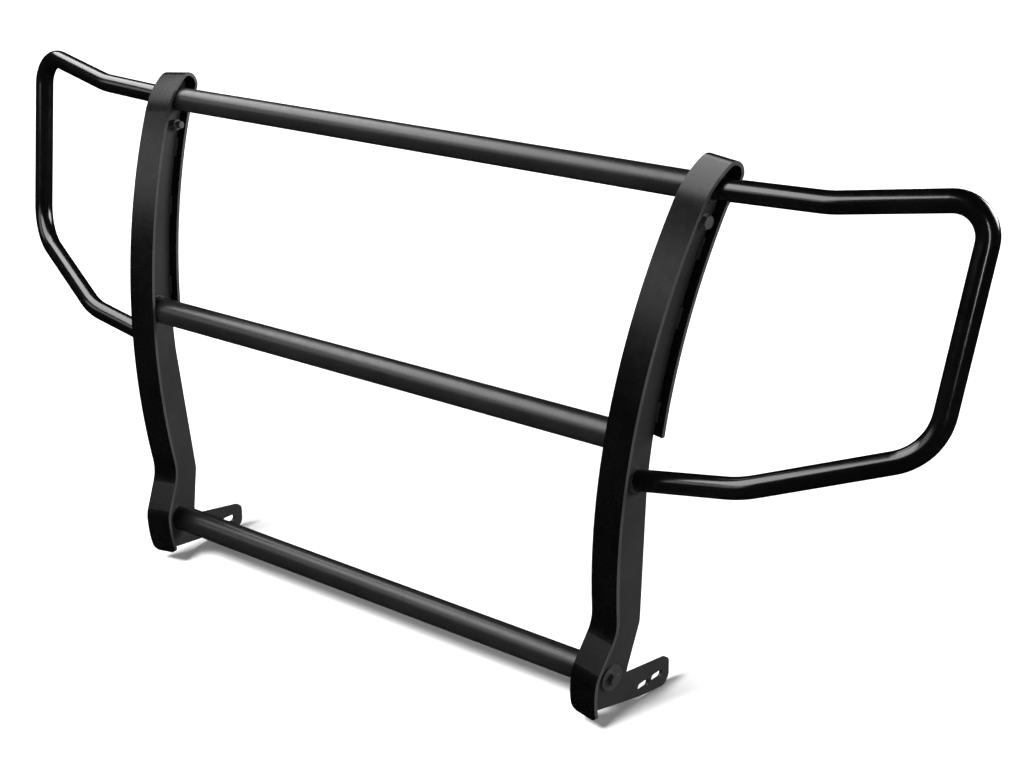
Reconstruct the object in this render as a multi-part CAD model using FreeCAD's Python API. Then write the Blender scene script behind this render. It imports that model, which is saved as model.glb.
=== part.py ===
import FreeCAD, Part
import math
import os

os.makedirs("parts", exist_ok=True)

# Driving dimensions, in millimetres and degrees.
# Layout axes: +X to the right, +Y back towards the vehicle, +Z up.
# Until the last step the lower crossbar's axis is the layout origin in Y and Z.

# Uprights: the middle plane of each web crosses the lower bar's axis this far from the centre.
UPRIGHT_HALF_SPACING = 469.0
UPRIGHT_TOE = 7.9            # the uprights open outwards towards the vehicle
UPRIGHT_CANT = 4.65          # and lean outwards towards the top
PLATE = 6.0                  # web plate and flange strip thickness
STRIP_WIDTH = 50.0
REAR_STRIP_WIDTH = 37.0
FIT_GAP = 0.3                # clearance between curved faces that meet

# Side outline of an upright, as (u, v): u runs back along the web, v runs up along it.
FRONT_RADIUS = 1000.0
FRONT_CENTRE = (965.5, 262.0)
FRONT_START_V = 112.0
REAR_CENTRE = (990.0, 300.0)
CROWN_RADIUS = 130.0         # eases the front face over at the top
CURL_RADIUS = 22.0           # and the tighter curl that turns it down again
CURL_CENTRE = (134.5, 746.5)
REAR_STRIP_END_V = 380.0
FOOT_FRONT_U = -57.0
FOOT_RADIUS = 140.0
FOOT_CENTRE_V = 0.0
FOOT_WRAP = 20.0             # degrees the flange turns under the foot before its cut end
FOOT_CORNER_RADIUS = 12.0    # rounds the corners of that cut end
FOOT_TOP = (-57.0, 22.0)
FOOT_TOP_RADIUS = 45.0
KNEE = (-20.3, 92.9)
KNEE_RADIUS = 60.0
WEB_REAR_HIP = (53.5, 76.0)
HIP_RADIUS = 30.0

# Mounting tab, as (y, z), set parallel to the vehicle's frame rail.
TAB_ROOT = (33.0, -8.0)
TAB_ROOT_RADIUS = 4.0
TAB_TOP_REAR = (148.0, -25.0)
TAB_BOTTOM_REAR = (148.0, -72.0)
TAB_TOP_RADIUS = 12.0
TAB_BOTTOM_RADIUS = 18.0
BEND_POINT = (40.0, -10.0)
TAB_ZONE_TOP = 5.0           # the web above this height is not bent
SLOT_CENTRES = ((79.0, -46.0), (115.0, -46.0))
SLOT_LENGTH = 30.0
SLOT_WIDTH = 13.0

# Crossbars: round tube, each axis given as (u, v) where it meets the webs.
TOP_BAR_RADIUS = 20.0
LOWER_BARS_RADIUS = 22.0
BAR_WALL = 2.5
TOP_BAR = (118.0, 727.4)
MIDDLE_BAR = (6.0, 382.0)
LOWER_BAR = (0.0, 0.0)

# Wings: one bent tube on each side, through these bend corners (x, y, z).
WING_RADIUS = 16.0
WING_WALL = 2.5
WING_CORNERS = (
    ((725.0, 112.5, 731.0), 150.0),
    ((937.6, 146.1, 760.1), 45.0),
    ((910.3, 87.2, 431.5), 88.0),
    ((672.6, 6.2, 349.5), 120.0),
)
WING_FOOT = (18.0, 316.0)
WING_START_DEPTH = 12.0      # how far the bent path starts behind the web before it is trimmed

# Fasteners
BOLT_RADIUS = 6.0
BOLT_HEAD_FLATS = 18.0
BOLT_HEAD_HEIGHT = 7.5
NUT_HEIGHT = 10.0
HOLE_RADIUS = 6.5
UPPER_BOLT = (107.0, 683.0)
UPPER_WASHER_RADIUS = 12.0
UPPER_WASHER_THICKNESS = 2.5
UPPER_BOLT_LENGTH = 27.0
END_WASHER_RADIUS = 21.0
END_WASHER_THICKNESS = 3.0
END_PLUG_LENGTH = 30.0
LOWER_BOLT_LENGTH = 32.0

# Welds
WING_RING_LEG = 5.0
MIDDLE_RING_LEG = 4.0
TOP_RING_LEG = 3.0
STITCH_LENGTH = 32.0
STITCH_LEG = 4.5
FRONT_STITCHES = (150.0, 290.0, 430.0, 566.0, 660.0)
REAR_STITCHES = (415.0, 550.0, 645.0)

REACH = 3000.0               # larger than the whole guard, for trimming blocks
CUT_DEPTH = 60.0             # longer than any hole through a web


# ---- Placing things on an upright ----

def upright_axes():
    """Unit vectors along u, along v and out of the web, for the right upright."""
    toe = math.radians(UPRIGHT_TOE)
    cant = math.radians(UPRIGHT_CANT)
    along_u = FreeCAD.Vector(math.sin(toe), math.cos(toe), 0)
    along_v = FreeCAD.Vector(math.cos(toe) * math.sin(cant), -math.sin(toe) * math.sin(cant), math.cos(cant))
    outwards = along_u.cross(along_v)
    return along_u, along_v, outwards


def frame_placement(origin, x_axis, y_axis, z_axis):
    matrix = FreeCAD.Matrix(
        x_axis.x, y_axis.x, z_axis.x, origin.x,
        x_axis.y, y_axis.y, z_axis.y, origin.y,
        x_axis.z, y_axis.z, z_axis.z, origin.z,
        0, 0, 0, 1)
    return FreeCAD.Placement(matrix)


def on_upright(shape):
    """Move a shape drawn in (u, v, outwards) onto the right upright."""
    along_u, along_v, outwards = upright_axes()
    origin = FreeCAD.Vector(UPRIGHT_HALF_SPACING, 0, 0)
    placed = shape.copy()
    placed.Placement = frame_placement(origin, along_u, along_v, outwards).multiply(shape.Placement)
    return placed


def upright_point(u, v, out=0.0):
    along_u, along_v, outwards = upright_axes()
    return FreeCAD.Vector(UPRIGHT_HALF_SPACING, 0, 0) + along_u * u + along_v * v + outwards * out


def mirrored(shape):
    return shape.mirror(FreeCAD.Vector(0, 0, 0), FreeCAD.Vector(1, 0, 0))


def outboard_block(out):
    """Everything further out than the given distance from the right web's middle plane."""
    block = Part.makeBox(REACH, REACH, REACH, FreeCAD.Vector(-REACH / 2, -REACH / 2, out))
    return on_upright(block)


def inboard_block(out):
    block = Part.makeBox(REACH, REACH, REACH, FreeCAD.Vector(-REACH / 2, -REACH / 2, out - REACH))
    return on_upright(block)


# ---- Drawing helpers ----

def flat(point):
    return FreeCAD.Vector(point[0], point[1], 0)


def line(start, end):
    return Part.makeLine(start, end)


def arc_about(centre, radius, start_angle, end_angle):
    """Arc in the u-v plane from one angle to the other, in degrees, the short way through their middle."""
    points = []
    for angle in (start_angle, (start_angle + end_angle) / 2, end_angle):
        turn = math.radians(angle)
        points.append(centre + FreeCAD.Vector(math.cos(turn), math.sin(turn), 0) * radius)
    return Part.Arc(*points).toShape()


def angle_of(vector):
    return math.degrees(math.atan2(vector.y, vector.x))


def rounded_edges(corners):
    """Edges along the corners, given as (point, radius); the first and last radius are not used."""
    points = [corner[0] for corner in corners]
    edges = []
    start = points[0]
    for index in range(1, len(points) - 1):
        corner = points[index]
        radius = corners[index][1]
        back = (points[index - 1] - corner).normalize()
        ahead = (points[index + 1] - corner).normalize()
        half_angle = back.getAngle(ahead) / 2
        length = radius / math.tan(half_angle)
        first = corner + back * length
        last = corner + ahead * length
        bisector = (back + ahead).normalize()
        middle = corner + bisector * (radius / math.sin(half_angle) - radius)
        if (first - start).Length > 0.01:
            edges.append(line(start, first))
        edges.append(Part.Arc(first, middle, last).toShape())
        start = last
    if (points[-1] - start).Length > 0.01:
        edges.append(line(start, points[-1]))
    return edges


def plate_from(face, thickness):
    """Extrude a face drawn in the u-v plane by equal amounts to both sides."""
    moved = face.copy()
    moved.translate(FreeCAD.Vector(0, 0, -thickness / 2))
    return moved.extrude(FreeCAD.Vector(0, 0, thickness))


# ---- Side outline of an upright ----

def crown_centre():
    """Centre of the crown arc: it touches the long front arc and the curl from the inside of both."""
    front = flat(FRONT_CENTRE)
    curl = flat(CURL_CENTRE)
    to_front = FRONT_RADIUS - CROWN_RADIUS
    to_curl = CROWN_RADIUS - CURL_RADIUS
    apart = (curl - front).Length
    along = (to_front ** 2 - to_curl ** 2 + apart ** 2) / (2 * apart)
    aside = math.sqrt(to_front ** 2 - along ** 2)
    direction = (curl - front).normalize()
    sideways = FreeCAD.Vector(-direction.y, direction.x, 0)
    return front + direction * along + sideways * aside


def rear_radius():
    """Radius of the rear arc that makes it tangent to the curl."""
    return (flat(CURL_CENTRE) - flat(REAR_CENTRE)).Length - CURL_RADIUS


def rear_point(v, inset=0.0):
    """Point on the rear arc at height v, inset from the outer face of the flange."""
    radius = rear_radius() + inset
    return flat((REAR_CENTRE[0] - math.sqrt(radius ** 2 - (v - REAR_CENTRE[1]) ** 2), v))


def front_point(v, inset=0.0):
    radius = FRONT_RADIUS - inset
    return flat((FRONT_CENTRE[0] - math.sqrt(radius ** 2 - (v - FRONT_CENTRE[1]) ** 2), v))


def foot_edges(inset):
    """The flange's path around the foot, up to the start of the long front arc."""
    centre = flat((FOOT_FRONT_U + FOOT_RADIUS, FOOT_CENTRE_V))
    around = arc_about(centre, FOOT_RADIUS - inset, 180 + FOOT_WRAP, 180)
    top_start = flat((FOOT_FRONT_U + inset, FOOT_CENTRE_V))
    knee_turn = (flat(KNEE) - flat(FOOT_TOP)).normalize()
    inwards = FreeCAD.Vector(knee_turn.y, -knee_turn.x, 0)
    long_start = front_point(FRONT_START_V)
    to_centre = (flat(FRONT_CENTRE) - long_start).normalize()
    end = long_start + to_centre * inset
    rise = FreeCAD.Vector(-to_centre.y, to_centre.x, 0)
    diagonal_at = flat(FOOT_TOP) + inwards * inset
    top_corner = diagonal_at + knee_turn * ((FOOT_FRONT_U + inset - diagonal_at.x) / knee_turn.x)
    across = (end - top_corner).cross(rise).z / knee_turn.cross(rise).z
    knee_corner = top_corner + knee_turn * across
    bends = (
        (top_start, 0),
        (top_corner, FOOT_TOP_RADIUS - inset),
        (knee_corner, KNEE_RADIUS + inset),
        (end, 0),
    )
    return [around] + rounded_edges(bends)


def front_edges(inset):
    """The flange's path from the foot to the highest point of the curl."""
    front = flat(FRONT_CENTRE)
    crown = crown_centre()
    edges = foot_edges(inset)
    start_angle = angle_of(edges[-1].Vertexes[-1].Point - front) % 360
    crown_angle = angle_of(crown - front) % 360
    curl_angle = angle_of(flat(CURL_CENTRE) - crown) % 360
    edges.append(arc_about(front, FRONT_RADIUS - inset, start_angle, crown_angle))
    edges.append(arc_about(crown, CROWN_RADIUS - inset, crown_angle, curl_angle))
    edges.append(arc_about(flat(CURL_CENTRE), CURL_RADIUS - inset, curl_angle, 90))
    return edges


def rear_edges(inset):
    """The flange's path from the top of the curl down the rear edge to its cut end."""
    curl = flat(CURL_CENTRE)
    centre = flat(REAR_CENTRE)
    tangent_angle = angle_of(centre - curl)
    rear_tangent = angle_of(curl - centre) % 360
    end_angle = angle_of(rear_point(REAR_STRIP_END_V, inset) - centre) % 360
    return [
        arc_about(curl, CURL_RADIUS - inset, 90, tangent_angle),
        arc_about(centre, rear_radius() + inset, rear_tangent, end_angle),
    ]


def band_face(outer_edges, inner_edges):
    """Face between two open paths that run the same way."""
    outer = Part.Wire(outer_edges)
    inner = Part.Wire(inner_edges)
    caps = [
        line(outer.OrderedVertexes[0].Point, inner.OrderedVertexes[0].Point),
        line(outer.OrderedVertexes[-1].Point, inner.OrderedVertexes[-1].Point),
    ]
    loop = Part.Wire(Part.__sortEdges__(outer_edges + inner_edges + caps))
    return Part.Face(loop)


# ---- Upright pieces ----

def flange_strip():
    front = plate_from(band_face(front_edges(0), front_edges(PLATE)), STRIP_WIDTH)
    rear = plate_from(band_face(rear_edges(0), rear_edges(PLATE)), STRIP_WIDTH)
    front = front.common(foot_block())
    return on_upright(front.fuse(rear.common(taper_block())).removeSplitter())


def foot_block():
    """Block that rounds the corners of the flange's cut end."""
    wide = STRIP_WIDTH / 2
    bottom = FOOT_CENTRE_V - FOOT_RADIUS * math.sin(math.radians(FOOT_WRAP))
    path = rounded_edges((
        (flat((-wide, REACH)), 0),
        (flat((-wide, bottom)), FOOT_CORNER_RADIUS),
        (flat((wide, bottom)), FOOT_CORNER_RADIUS),
        (flat((wide, REACH)), 0),
    ))
    path.append(line(flat((wide, REACH)), flat((-wide, REACH))))
    block = Part.Face(Part.Wire(path)).extrude(FreeCAD.Vector(0, 0, REACH))
    block.translate(FreeCAD.Vector(0, 0, -REACH / 2))
    block.rotate(FreeCAD.Vector(0, 0, 0), FreeCAD.Vector(0, 1, 0), 90)
    return block


def taper_block():
    """Block that narrows the rear part of the flange below the curl."""
    wide = STRIP_WIDTH / 2
    narrow = REAR_STRIP_WIDTH / 2
    full_width_down_to = CURL_CENTRE[1]
    top = full_width_down_to + 2 * CURL_RADIUS
    narrow_from = full_width_down_to - 2 * CURL_RADIUS
    outline = (
        (-wide, top), (wide, top), (wide, full_width_down_to), (narrow, narrow_from),
        (narrow, 0), (-narrow, 0), (-narrow, narrow_from), (-wide, full_width_down_to),
    )
    points = [FreeCAD.Vector(0, height, across) for across, height in outline]
    return Part.Face(Part.makePolygon(points + points[:1])).extrude(FreeCAD.Vector(REACH, 0, 0))


def web_outline():
    """The web's edge: just inside the flange, then the bare rear edge, the foot and its bottom."""
    inset = PLATE + FIT_GAP
    covered = front_edges(inset) + rear_edges(inset)
    bare_top = rear_point(REAR_STRIP_END_V, PLATE)
    bare_low = rear_point(REAR_CENTRE[1], PLATE)
    centre = flat(REAR_CENTRE)
    bare_arc = arc_about(centre, rear_radius() + PLATE, angle_of(bare_top - centre) % 360, 180)
    rear = rounded_edges((
        (bare_low, 0),
        (flat(WEB_REAR_HIP), HIP_RADIUS),
        (flat(TAB_ROOT), TAB_ROOT_RADIUS),
        (flat(TAB_TOP_REAR), TAB_TOP_RADIUS),
        (flat(TAB_BOTTOM_REAR), TAB_BOTTOM_RADIUS),
        (covered[0].Vertexes[0].Point, 0),
    ))
    step = line(covered[-1].Vertexes[-1].Point, bare_top)
    edges = covered + [step, bare_arc] + rear
    return Part.Face(Part.Wire(Part.__sortEdges__(edges)))


def through_cylinder(radius, at):
    return Part.makeCylinder(radius, CUT_DEPTH, FreeCAD.Vector(at[0], at[1], -CUT_DEPTH / 2))


def slot_cutter(centre):
    """Slot through the tab, drawn as (y, z) and running along y."""
    radius = SLOT_WIDTH / 2
    half = SLOT_LENGTH / 2 - radius
    corner = FreeCAD.Vector(centre[0] - half, centre[1] - radius, -CUT_DEPTH / 2)
    middle = Part.makeBox(2 * half, SLOT_WIDTH, CUT_DEPTH, corner)
    ends = []
    for side in (-half, half):
        ends.append(through_cylinder(radius, (centre[0] + side, centre[1])))
    return middle.fuse(ends[0]).fuse(ends[1]).removeSplitter()


def tab_placement():
    """Places a shape drawn as (y, z) on the plane of the tab, square to the vehicle."""
    root = upright_point(*BEND_POINT)
    origin = FreeCAD.Vector(root.x, 0, 0)
    return frame_placement(origin, FreeCAD.Vector(0, 1, 0), FreeCAD.Vector(0, 0, 1), FreeCAD.Vector(1, 0, 0))


def bend_block():
    """Half space behind the bend between web and tab."""
    outwards = upright_axes()[2]
    square = FreeCAD.Vector(1, 0, 0)
    along = outwards.cross(square).normalize()
    middle = (outwards + square).normalize()
    across = along.cross(middle).normalize()
    if across.y < 0:
        across = across * -1
        along = along * -1
    origin = upright_point(*BEND_POINT)
    block = Part.makeBox(REACH, REACH, REACH, FreeCAD.Vector(0, -REACH / 2, -REACH / 2))
    block.Placement = frame_placement(origin, across, along, across.cross(along))
    return block


def web_plate():
    outline = web_outline()
    plate = plate_from(outline, PLATE)
    for centre in (UPPER_BOLT, LOWER_BAR):
        plate = plate.cut(through_cylinder(HOLE_RADIUS, centre))
    web = on_upright(plate)
    tab = plate_from(outline, PLATE)
    for centre in SLOT_CENTRES:
        tab = tab.cut(slot_cutter(centre))
    tab.Placement = tab_placement()
    below = Part.makeBox(REACH, REACH, REACH, FreeCAD.Vector(-REACH / 2, -REACH / 2, TAB_ZONE_TOP - REACH))
    behind_bend = bend_block().common(below)
    web_part = web.cut(behind_bend)
    tab_part = tab.common(behind_bend)
    return web_part.fuse(tab_part).removeSplitter()


# ---- Tubes ----

def between_webs(shape):
    block = inboard_block(-PLATE / 2)
    return shape.common(block).common(mirrored(block))


def crossbar(point, radius):
    centre = upright_point(*point)
    start = FreeCAD.Vector(-REACH / 2, centre.y, centre.z)
    across = FreeCAD.Vector(1, 0, 0)
    outside = Part.makeCylinder(radius, REACH, start, across)
    bore = Part.makeCylinder(radius - BAR_WALL, REACH, start, across)
    return between_webs(outside.cut(bore))


def wing_corners():
    corners = [FreeCAD.Vector(*corner) for corner, radius in WING_CORNERS]
    start = upright_point(*TOP_BAR)
    end = upright_point(*WING_FOOT)
    start_run = (corners[0] - start).normalize()
    end_run = (corners[-1] - end).normalize()
    path = [(start - start_run * WING_START_DEPTH, 0)]
    for corner, bend in zip(corners, WING_CORNERS):
        path.append((corner, bend[1]))
    path.append((end - end_run * WING_START_DEPTH, 0))
    return path, start_run, end_run


def swept_rod(path_edges, radius):
    spine = Part.Wire(path_edges)
    first = path_edges[0]
    start = first.valueAt(first.FirstParameter)
    heading = first.tangentAt(first.FirstParameter)
    profile = Part.Wire(Part.makeCircle(radius, start, heading))
    return spine.makePipeShell([profile], True, False)


def wing_tube():
    edges = rounded_edges(wing_corners()[0])
    tube = swept_rod(edges, WING_RADIUS).cut(swept_rod(edges, WING_RADIUS - WING_WALL))
    return tube.common(outboard_block(PLATE / 2))


# ---- Fasteners ----

def hexagon(height, flats, at):
    radius = flats / math.sqrt(3)
    points = []
    for corner in range(6):
        turn = math.radians(60 * corner)
        points.append(FreeCAD.Vector(at[0] + radius * math.cos(turn), at[1] + radius * math.sin(turn), at[2]))
    prism = Part.Face(Part.makePolygon(points + points[:1])).extrude(FreeCAD.Vector(0, 0, height))
    chamfer = height / 6
    dome = Part.makeCone(radius + 5 * chamfer, radius - chamfer, height, FreeCAD.Vector(*at))
    return prism.common(dome)


def hex_bolt(at, face, length):
    """Bolt with its head's underside at the given distance out of the web, shank pointing inboard."""
    head = hexagon(BOLT_HEAD_HEIGHT, BOLT_HEAD_FLATS, (at[0], at[1], face))
    shank = Part.makeCylinder(BOLT_RADIUS, length, FreeCAD.Vector(at[0], at[1], face - length))
    return on_upright(head.fuse(shank).removeSplitter())


def washer(at, face, radius, thickness):
    disc = Part.makeCylinder(radius, thickness, FreeCAD.Vector(at[0], at[1], face))
    hole = Part.makeCylinder(HOLE_RADIUS, thickness, FreeCAD.Vector(at[0], at[1], face))
    return on_upright(disc.cut(hole))


def upper_nut():
    face = -PLATE / 2 - NUT_HEIGHT
    at = (UPPER_BOLT[0], UPPER_BOLT[1], -face - NUT_HEIGHT)
    nut = hexagon(NUT_HEIGHT, BOLT_HEAD_FLATS, at)
    nut = nut.mirror(FreeCAD.Vector(0, 0, 0), FreeCAD.Vector(0, 0, 1))
    return on_upright(nut.cut(through_cylinder(BOLT_RADIUS + FIT_GAP, UPPER_BOLT)))


def end_plug():
    """Threaded plug welded inside the end of the lower crossbar."""
    start = FreeCAD.Vector(UPRIGHT_HALF_SPACING - END_PLUG_LENGTH, 0, 0)
    radius = LOWER_BARS_RADIUS - BAR_WALL - FIT_GAP
    rod = Part.makeCylinder(radius, 2 * END_PLUG_LENGTH, start, FreeCAD.Vector(1, 0, 0))
    thread = Part.makeCylinder(BOLT_RADIUS + FIT_GAP, 2 * CUT_DEPTH, FreeCAD.Vector(0, 0, -CUT_DEPTH))
    return rod.common(inboard_block(-PLATE / 2)).cut(on_upright(thread))


# ---- Welds ----

def flange_space():
    """The flange and its clearance, which the ring welds stop short of."""
    width = STRIP_WIDTH + 2 * FIT_GAP
    front = plate_from(band_face(front_edges(0), front_edges(PLATE + FIT_GAP)), width)
    rear = plate_from(band_face(rear_edges(0), rear_edges(PLATE + FIT_GAP)), width)
    return on_upright(front.fuse(rear))


def ring_weld(point, heading, tube_radius, leg, block):
    """Fillet weld around a tube where it meets the web; the block is the side it lies on."""
    below = 3 * leg
    base = point - heading * below
    cone = Part.makeCone(tube_radius + leg + below, tube_radius, leg + below, base, heading)
    keep = Part.makeCylinder(tube_radius + leg, 2 * below, base, heading)
    tube = Part.makeCylinder(tube_radius + FIT_GAP, 3 * below, base, heading)
    return cone.common(keep).cut(tube).common(block).cut(flange_space())


def crossbar_weld(point, radius, leg):
    inwards = FreeCAD.Vector(-1, 0, 0)
    face = upright_point(point[0], point[1])
    to_surface = PLATE / 2 / abs(upright_axes()[2].x)
    return ring_weld(face + inwards * to_surface, inwards, radius, leg, inboard_block(-PLATE / 2))


def wing_welds():
    start_run, end_run = wing_corners()[1:]
    welds = []
    for point, run in ((TOP_BAR, start_run), (WING_FOOT, end_run)):
        depth = PLATE / 2 / run.dot(upright_axes()[2])
        face = upright_point(*point) + run * depth
        welds.append(ring_weld(face, run, WING_RADIUS, WING_RING_LEG, outboard_block(PLATE / 2)))
    return welds


def stitch_weld(at, along, inwards, side):
    """Short fillet between web and flange: inwards points from the flange across the web."""
    web_face = side * PLATE / 2
    start = at - along * (STITCH_LENGTH / 2)
    corner = FreeCAD.Vector(start.x, start.y, web_face)
    raised = FreeCAD.Vector(0, 0, side * STITCH_LEG)
    section = Part.makePolygon([corner, corner + inwards * STITCH_LEG, corner + raised, corner])
    return on_upright(Part.Face(section).extrude(along * STITCH_LENGTH))


def stitch_welds():
    welds = []
    places = []
    for v in FRONT_STITCHES:
        places.append((front_point(v, PLATE + FIT_GAP), flat(FRONT_CENTRE), 1))
    for v in REAR_STITCHES:
        places.append((rear_point(v, PLATE + FIT_GAP), flat(REAR_CENTRE), -1))
    for at, centre, sense in places:
        inwards = (centre - at).normalize() * sense
        along = FreeCAD.Vector(-inwards.y, inwards.x, 0)
        for side in (-1, 1):
            welds.append(stitch_weld(at, along, inwards, side))
    diagonal = (flat(KNEE) - flat(FOOT_TOP)).normalize()
    inwards = FreeCAD.Vector(diagonal.y, -diagonal.x, 0)
    middle = (flat(KNEE) + flat(FOOT_TOP)) * 0.5 + inwards * (PLATE + FIT_GAP)
    for side in (-1, 1):
        welds.append(stitch_weld(middle, diagonal, inwards, side))
    return welds


# ---- Assembly ----

def both_sides(shapes):
    return Part.makeCompound(shapes + [mirrored(shape) for shape in shapes])


def build_nodes():
    web = web_plate()
    strip = flange_strip()
    wing = wing_tube()
    stitches = Part.makeCompound(stitch_welds())
    wing_rings = Part.makeCompound(wing_welds())
    head_face = PLATE / 2 + UPPER_WASHER_THICKNESS
    end_face = PLATE / 2 + END_WASHER_THICKNESS
    upper_washer = washer(UPPER_BOLT, PLATE / 2, UPPER_WASHER_RADIUS, UPPER_WASHER_THICKNESS)
    end_washer = washer(LOWER_BAR, PLATE / 2, END_WASHER_RADIUS, END_WASHER_THICKNESS)
    return {
        "web_plate_right": web,
        "web_plate_left": mirrored(web),
        "flange_strip_right": strip,
        "flange_strip_left": mirrored(strip),
        "crossbar_top": crossbar(TOP_BAR, TOP_BAR_RADIUS),
        "crossbar_middle": crossbar(MIDDLE_BAR, LOWER_BARS_RADIUS),
        "crossbar_lower": crossbar(LOWER_BAR, LOWER_BARS_RADIUS),
        "wing_tube_right": wing,
        "wing_tube_left": mirrored(wing),
        "stitch_welds_right": stitches,
        "stitch_welds_left": mirrored(stitches),
        "wing_welds_right": wing_rings,
        "wing_welds_left": mirrored(wing_rings),
        "crossbar_top_welds": both_sides([crossbar_weld(TOP_BAR, TOP_BAR_RADIUS, TOP_RING_LEG)]),
        "crossbar_middle_welds": both_sides([crossbar_weld(MIDDLE_BAR, LOWER_BARS_RADIUS, MIDDLE_RING_LEG)]),
        "upper_bolts": both_sides([hex_bolt(UPPER_BOLT, head_face, UPPER_BOLT_LENGTH)]),
        "upper_washers": both_sides([upper_washer]),
        "upper_nuts": both_sides([upper_nut()]),
        "lower_bar_plugs": both_sides([end_plug()]),
        "lower_bar_washers": both_sides([end_washer]),
        "lower_bar_bolts": both_sides([hex_bolt(LOWER_BAR, end_face, LOWER_BOLT_LENGTH)]),
    }


def export(nodes):
    """Centre the guard over the origin, stand it on z = 0 and write one file for each node."""
    box = Part.makeCompound(list(nodes.values())).optimalBoundingBox(False, False)
    shift = FreeCAD.Vector(0, -box.Center.y, -box.ZMin)
    for name, shape in nodes.items():
        placed = shape.copy()
        placed.translate(shift)
        placed.exportStep("parts/" + name + ".step")
        print(name, len(placed.Solids), placed.isValid(), round(placed.Volume))
    print("shift", shift, "size", box.XLength, box.YLength, box.ZLength)


export(build_nodes())
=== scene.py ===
import math

import bpy
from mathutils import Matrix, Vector


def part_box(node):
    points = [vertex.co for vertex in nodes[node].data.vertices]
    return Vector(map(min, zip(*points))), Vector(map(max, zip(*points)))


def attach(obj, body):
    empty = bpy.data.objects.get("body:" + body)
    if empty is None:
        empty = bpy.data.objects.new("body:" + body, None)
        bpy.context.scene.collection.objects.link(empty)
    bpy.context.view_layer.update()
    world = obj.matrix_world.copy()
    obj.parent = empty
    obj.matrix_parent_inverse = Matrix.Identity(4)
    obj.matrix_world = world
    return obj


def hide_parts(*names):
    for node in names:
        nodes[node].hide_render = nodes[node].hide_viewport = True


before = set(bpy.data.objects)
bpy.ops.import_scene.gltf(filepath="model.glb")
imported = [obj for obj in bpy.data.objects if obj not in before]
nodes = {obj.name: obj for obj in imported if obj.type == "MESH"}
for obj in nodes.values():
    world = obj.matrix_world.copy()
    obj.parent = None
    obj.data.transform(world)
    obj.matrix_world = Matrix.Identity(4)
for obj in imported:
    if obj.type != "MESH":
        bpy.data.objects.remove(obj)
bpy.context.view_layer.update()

# Driving dimensions, in metres and degrees. +X right, +Y back towards the vehicle, +Z up.

# Camera, placed from the lower crossbar's axis
CAMERA_OFFSET = Vector((1.8031, -1.9082, 1.2766))
CAMERA_TURN = 38.49
CAMERA_DROP = 19.44
CAMERA_LENS = 62.47
SENSOR_WIDTH = 36.0

# Stage
FLOOR_HALF_SIZE = 20.0
KEY_RISE = 50.0               # height of the key light above the horizon
KEY_TURN = 6.0                # and how far it stands to the left of straight ahead
KEY_SPREAD = 24.0
KEY_STRENGTH = 7.6
HORIZON_STRENGTH = 1.1        # the sky is white near the horizon
HORIZON_TOP = 0.40            # up to this sine of its height, and dim above
HORIZON_FADE = 0.1            # with a change this wide between them
SKY_STRENGTH = 0.09
FLOOR_CELLS = 1.5             # size of the floor's cloudiness, in cells to the metre
FLOOR_DARK = 0.78
FLOOR_LIGHT = 0.80
FLOOR_ROUGHNESS = 0.9

# The nodes that take the fastener coating
FASTENER_NODES = ("upper_bolts", "upper_washers", "upper_nuts", "lower_bar_washers", "lower_bar_bolts")

# Coating texture, in cells to the metre
CLOUD_CELLS = 9
GLOSS_CELLS = 60
PEEL_CELLS = 420
PEEL_DEPTH = 0.0004
BLUE_TINT = 1.05              # blue against red and green in the black coating
NOISE_RANGE = (0.3, 0.7)      # nearly all noise values lie between these
TONE_STOPS = (0.35, 0.65)     # noise values where a tone is fully dark and fully light

# Weld beads
BEAD_MESH = 0.0008            # edge length of the evened-out bead
BEAD_SOFTENING = 4            # smoothing passes
BEAD_RIPPLE_SIZE = 0.0045
BEAD_RIPPLE_HEIGHT = 0.0011
BEAD_RIPPLE_LEVEL = 0.35      # ripple value that leaves the surface where it is

# Rounded plate edges
PLATE_EDGE = 0.0009
STRIP_EDGE = 0.0022
FASTENER_EDGE = 0.0004
EDGE_SEGMENTS = 3
EDGE_LEAST_ANGLE = 50.0       # only corners sharper than this are rounded
SIDE_FACING = 0.9             # a face looks sideways when its normal's X is over this


# ---- Materials ----

def new_material(name):
    material = bpy.data.materials.new(name)
    material.use_nodes = True
    shader = material.node_tree.nodes["Principled BSDF"]
    return material, material.node_tree, shader


def noise(tree, cells, detail):
    """Noise in the object's own coordinates, at so many cells to the metre."""
    place = tree.nodes.new("ShaderNodeTexCoord")
    texture = tree.nodes.new("ShaderNodeTexNoise")
    texture.inputs["Scale"].default_value = cells
    texture.inputs["Detail"].default_value = detail
    tree.links.new(place.outputs["Object"], texture.inputs["Vector"])
    return texture.outputs["Fac"]


def spread(tree, value, low, high):
    """Turn a noise value into a number between low and high."""
    spread_node = tree.nodes.new("ShaderNodeMapRange")
    spread_node.inputs["From Min"].default_value = NOISE_RANGE[0]
    spread_node.inputs["From Max"].default_value = NOISE_RANGE[1]
    spread_node.inputs["To Min"].default_value = low
    spread_node.inputs["To Max"].default_value = high
    tree.links.new(value, spread_node.inputs["Value"])
    return spread_node.outputs["Result"]


def two_tone(tree, value, dark, light):
    """Turn a noise value into a colour between dark and light."""
    ramp = tree.nodes.new("ShaderNodeValToRGB")
    for stop, place, colour in zip(ramp.color_ramp.elements, TONE_STOPS, (dark, light)):
        stop.position = place
        stop.color = (*colour, 1)
    tree.links.new(value, ramp.inputs["Fac"])
    return ramp.outputs["Color"]


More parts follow.
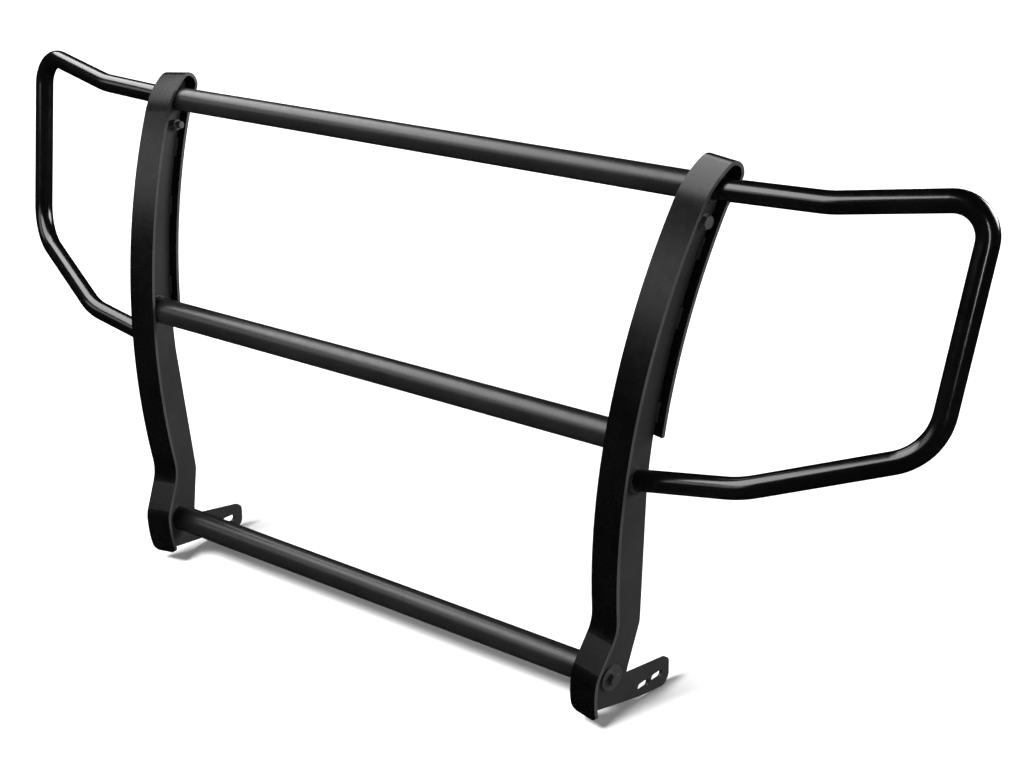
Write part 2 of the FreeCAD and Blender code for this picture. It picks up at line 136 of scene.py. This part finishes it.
def bump(tree, shader, height, strength, distance):
    bump_node = tree.nodes.new("ShaderNodeBump")
    bump_node.inputs["Strength"].default_value = strength
    bump_node.inputs["Distance"].default_value = distance
    tree.links.new(height, bump_node.inputs["Height"])
    tree.links.new(bump_node.outputs["Normal"], shader.inputs["Normal"])


def near_black(level):
    """A dark grey with a faint blue tint."""
    return (level, level, level * BLUE_TINT)


def coated(name, dark, light, gloss, ior, peel):
    """Black coating: faint cloudiness, uneven gloss and a fine orange peel."""
    material, tree, shader = new_material(name)
    cloud = noise(tree, CLOUD_CELLS, detail=3)
    streaks = noise(tree, GLOSS_CELLS, detail=4)
    grain = noise(tree, PEEL_CELLS, detail=2)
    smooth, rough = gloss
    shader.inputs["IOR"].default_value = ior
    tone = two_tone(tree, cloud, near_black(dark), near_black(light))
    tree.links.new(tone, shader.inputs["Base Color"])
    tree.links.new(spread(tree, streaks, smooth, rough), shader.inputs["Roughness"])
    bump(tree, shader, grain, peel, PEEL_DEPTH)
    return material


def strip_coat():
    return coated("strip_powder_coat", dark=0.0014, light=0.0026, gloss=(0.23, 0.29), ior=1.38, peel=0.14)


def bar_coat():
    return coated("bar_powder_coat", dark=0.0070, light=0.0100, gloss=(0.27, 0.35), ior=1.40, peel=0.14)


# Painted light: the web takes a lighter copy of the strips' black paint, for the side light that makes it
# look brighter than the strips. Its cloudiness and peel are the coating's own.
def painted_light_web_coat():
    return coated("web_painted_light_coat", dark=0.0135, light=0.0165, gloss=(0.34, 0.44), ior=1.30, peel=0.16)


def painted_edge_highlight_coat():
    """Painted highlight: a lighter copy of the black paint on the strip's narrow edges, standing in for
    the light line along them.
    """
    return coated("strip_edge_painted_highlight", dark=0.0250, light=0.0320, gloss=(0.30, 0.40), ior=1.40, peel=0.14)


def wing_coat():
    return coated("gloss_powder_coat", dark=0.0012, light=0.0022, gloss=(0.14, 0.20), ior=1.50, peel=0.07)


def weld_coat():
    return coated("coated_weld", dark=0.0100, light=0.0180, gloss=(0.30, 0.44), ior=1.34, peel=0.35)


def fastener_coat():
    return coated("black_fastener", dark=0.0180, light=0.0340, gloss=(0.28, 0.42), ior=1.45, peel=0.22)


def floor_paper():
    material, tree, shader = new_material("floor_paper")
    cloud = noise(tree, FLOOR_CELLS, detail=2)
    shade = two_tone(tree, cloud, (FLOOR_DARK,) * 3, (FLOOR_LIGHT,) * 3)
    tree.links.new(shade, shader.inputs["Base Color"])
    shader.inputs["Roughness"].default_value = FLOOR_ROUGHNESS
    shader.inputs["Specular IOR Level"].default_value = 0.0
    return material


# ---- Pieces ----

def finish_node(node_name, material):
    """A CAD node whose shape is right keeps its mesh and takes a better material."""
    for slot in nodes[node_name].material_slots:
        slot.material = material


def own_piece(node_name, ending, material):
    """Show a piece of its own in a CAD node's place. It starts from a copy of that node's mesh."""
    node = nodes[node_name]
    piece = bpy.data.objects.new(node_name + ending, node.data.copy())
    bpy.context.scene.collection.objects.link(piece)
    piece.matrix_world = node.matrix_world
    piece.data.materials.clear()
    piece.data.materials.append(material)
    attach(piece, "root")
    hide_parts(node_name)
    return piece


def rounded_piece(node_name, material, edge):
    """A plate or fastener with a small rounding on its edges."""
    piece = own_piece(node_name, "_rounded", material)
    rounding = piece.modifiers.new("rounded_edges", "BEVEL")
    rounding.width = edge
    rounding.segments = EDGE_SEGMENTS
    rounding.limit_method = "ANGLE"
    rounding.angle_limit = math.radians(EDGE_LEAST_ANGLE)
    rounding.harden_normals = True
    return piece


def bead_piece(node_name, material, ripple):
    """Rounded, rippled beads in place of the plain fillets of a weld node."""
    piece = own_piece(node_name, "_beads", material)
    even = piece.modifiers.new("even_mesh", "REMESH")
    even.mode = "VOXEL"
    even.voxel_size = BEAD_MESH
    even.use_smooth_shade = True
    soften = piece.modifiers.new("soften", "SMOOTH")
    soften.iterations = BEAD_SOFTENING
    lumps = piece.modifiers.new("ripple", "DISPLACE")
    lumps.texture = ripple
    lumps.texture_coords = "LOCAL"
    lumps.strength = BEAD_RIPPLE_HEIGHT
    lumps.mid_level = BEAD_RIPPLE_LEVEL


def bead_ripple():
    ripple = bpy.data.textures.new("bead_ripple", "CLOUDS")
    ripple.noise_scale = BEAD_RIPPLE_SIZE
    return ripple


def strip_piece(side, face_material, edge_highlight_material):
    """The strip, with a painted highlight on the narrow faces that look to the left and right: these take
    a lighter copy of its paint.
    """
    piece = rounded_piece("flange_strip_" + side, face_material, STRIP_EDGE)
    piece.data.materials.append(edge_highlight_material)
    # sideways faces take the painted edge highlight
    for face in piece.data.polygons:
        if abs(face.normal.x) > SIDE_FACING:
            face.material_index = 1
    return piece


def finish_steel():
    """Finish the plates, tubes and welds, and give back the two strips."""
    strip = strip_coat()
    # painted highlight: a lighter copy of the black paint for the strips' narrow edges
    edge = painted_edge_highlight_coat()
    # the web's lighter copy of the same paint is painted light
    web = painted_light_web_coat()
    wing = wing_coat()
    weld = weld_coat()
    bar = bar_coat()
    ripple = bead_ripple()
    strips = []
    for side in ("right", "left"):
        strips.append(strip_piece(side, strip, edge))
        rounded_piece("web_plate_" + side, web, PLATE_EDGE)
        finish_node("wing_tube_" + side, wing)
        bead_piece("stitch_welds_" + side, weld, ripple)
        bead_piece("wing_welds_" + side, weld, ripple)
    for node_name in ("crossbar_top_welds", "crossbar_middle_welds"):
        bead_piece(node_name, weld, ripple)
    for node_name in ("crossbar_top", "crossbar_middle", "crossbar_lower", "lower_bar_plugs"):
        finish_node(node_name, bar)
    return strips


def finish_fasteners():
    fastener = fastener_coat()
    for node_name in FASTENER_NODES:
        rounded_piece(node_name, fastener, FASTENER_EDGE)


# ---- Stage ----

def add_floor():
    """Plain floor. Glossy paint doesn't mirror it, so the undersides stay dark."""
    bpy.ops.mesh.primitive_plane_add(size=2 * FLOOR_HALF_SIZE)
    floor = bpy.context.object
    floor.name = "floor"
    floor.data.materials.append(floor_paper())
    floor.visible_glossy = False
    return floor


def add_camera():
    bar_low, bar_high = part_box("crossbar_lower")
    data = bpy.data.cameras.new("camera")
    data.lens = CAMERA_LENS
    data.sensor_width = SENSOR_WIDTH
    camera = bpy.data.objects.new("camera", data)
    camera.location = (bar_low + bar_high) / 2 + CAMERA_OFFSET
    camera.rotation_euler = (math.radians(90 - CAMERA_DROP), 0, math.radians(CAMERA_TURN))
    bpy.context.scene.collection.objects.link(camera)
    bpy.context.scene.camera = camera


def light_for(light, pieces, state):
    """Say whether a light falls on these pieces alone or on everything but them."""
    group = bpy.data.collections.new(light.name + "_receivers")
    for piece in pieces:
        group.objects.link(piece)
    light.light_linking.receiver_collection = group
    for member in group.collection_objects:
        member.light_linking.link_state = state


def add_softbox(name, place, target, size, power):
    """A rectangular area light at a place, turned to a target. Its size is width and height."""
    data = bpy.data.lights.new(name, "AREA")
    data.shape = "RECTANGLE"
    data.size, data.size_y = size
    data.energy = power
    light = bpy.data.objects.new(name, data)
    light.location = place
    light.rotation_euler = (Vector(target) - Vector(place)).to_track_quat("-Z", "Y").to_euler()
    bpy.context.scene.collection.objects.link(light)
    return light


def add_floor_key(floor):
    """Soft light from the front that gives the floor an even white and a soft shadow."""
    data = bpy.data.lights.new("floor_key", "SUN")
    data.energy = KEY_STRENGTH
    data.angle = math.radians(KEY_SPREAD)
    light = bpy.data.objects.new("floor_key", data)
    light.rotation_euler = (math.radians(90 - KEY_RISE), 0, -math.radians(KEY_TURN))
    bpy.context.scene.collection.objects.link(light)
    light_for(light, [floor], "INCLUDE")


def add_lights(floor, strips):
    add_floor_key(floor)
    overhead = add_softbox(
        "overhead", place=(-1.4, -0.85, 2.55), target=(-0.1, 0.0, 0.7), size=(4.5, 1.6), power=160)
    light_for(overhead, [floor] + strips, "EXCLUDE")
    roll_top = add_softbox(
        "roll_top", place=(-1.1, 0.2, 2.7), target=(0, 0.1, 0.8), size=(3.0, 2.0), power=90)
    light_for(roll_top, strips, "INCLUDE")
    front = add_softbox(
        "front", place=(-2.3, -3.2, 1.95), target=(0.3, 0, 0.6), size=(4.0, 1.1), power=26)
    light_for(front, [floor], "EXCLUDE")
    beside_camera = add_softbox(
        "beside_camera", place=(3.1, -2.6, 1.4), target=(0.9, 0, 0.6), size=(0.35, 2.0), power=30)
    light_for(beside_camera, [nodes["wing_tube_right"]], "INCLUDE")
    side = add_softbox(
        "right_side", place=(4.0, 1.6, 1.2), target=(0.3, 0, 0.4), size=(2.4, 2.0), power=165)
    side.visible_glossy = False
    light_for(side, [floor], "EXCLUDE")
    rear = add_softbox(
        "rear", place=(2.4, 3.6, 2.2), target=(0, 0.1, 0.5), size=(3.0, 2.0), power=230)
    light_for(rear, [floor], "EXCLUDE")


def add_world():
    """Even studio surround, white near the horizon. Glossy paint doesn't mirror it."""
    world = bpy.data.worlds.new("studio")
    bpy.context.scene.world = world
    world.use_nodes = True
    tree = world.node_tree
    place = tree.nodes.new("ShaderNodeTexCoord")
    split = tree.nodes.new("ShaderNodeSeparateXYZ")
    fade = tree.nodes.new("ShaderNodeMapRange")
    fade.interpolation_type = "SMOOTHSTEP"
    fade.inputs["From Min"].default_value = HORIZON_TOP
    fade.inputs["From Max"].default_value = HORIZON_TOP + HORIZON_FADE
    fade.inputs["To Min"].default_value = HORIZON_STRENGTH
    fade.inputs["To Max"].default_value = SKY_STRENGTH
    background = tree.nodes["Background"]
    background.inputs["Color"].default_value = (1, 1, 1, 1)
    tree.links.new(place.outputs["Generated"], split.inputs["Vector"])
    tree.links.new(split.outputs["Z"], fade.inputs["Value"])
    tree.links.new(fade.outputs["Result"], background.inputs["Strength"])
    world.cycles_visibility.glossy = False
    bpy.context.scene.view_settings.view_transform = "Standard"


shown_strips = finish_steel()
finish_fasteners()
add_world()
stage_floor = add_floor()
add_lights(stage_floor, shown_strips)
add_camera()
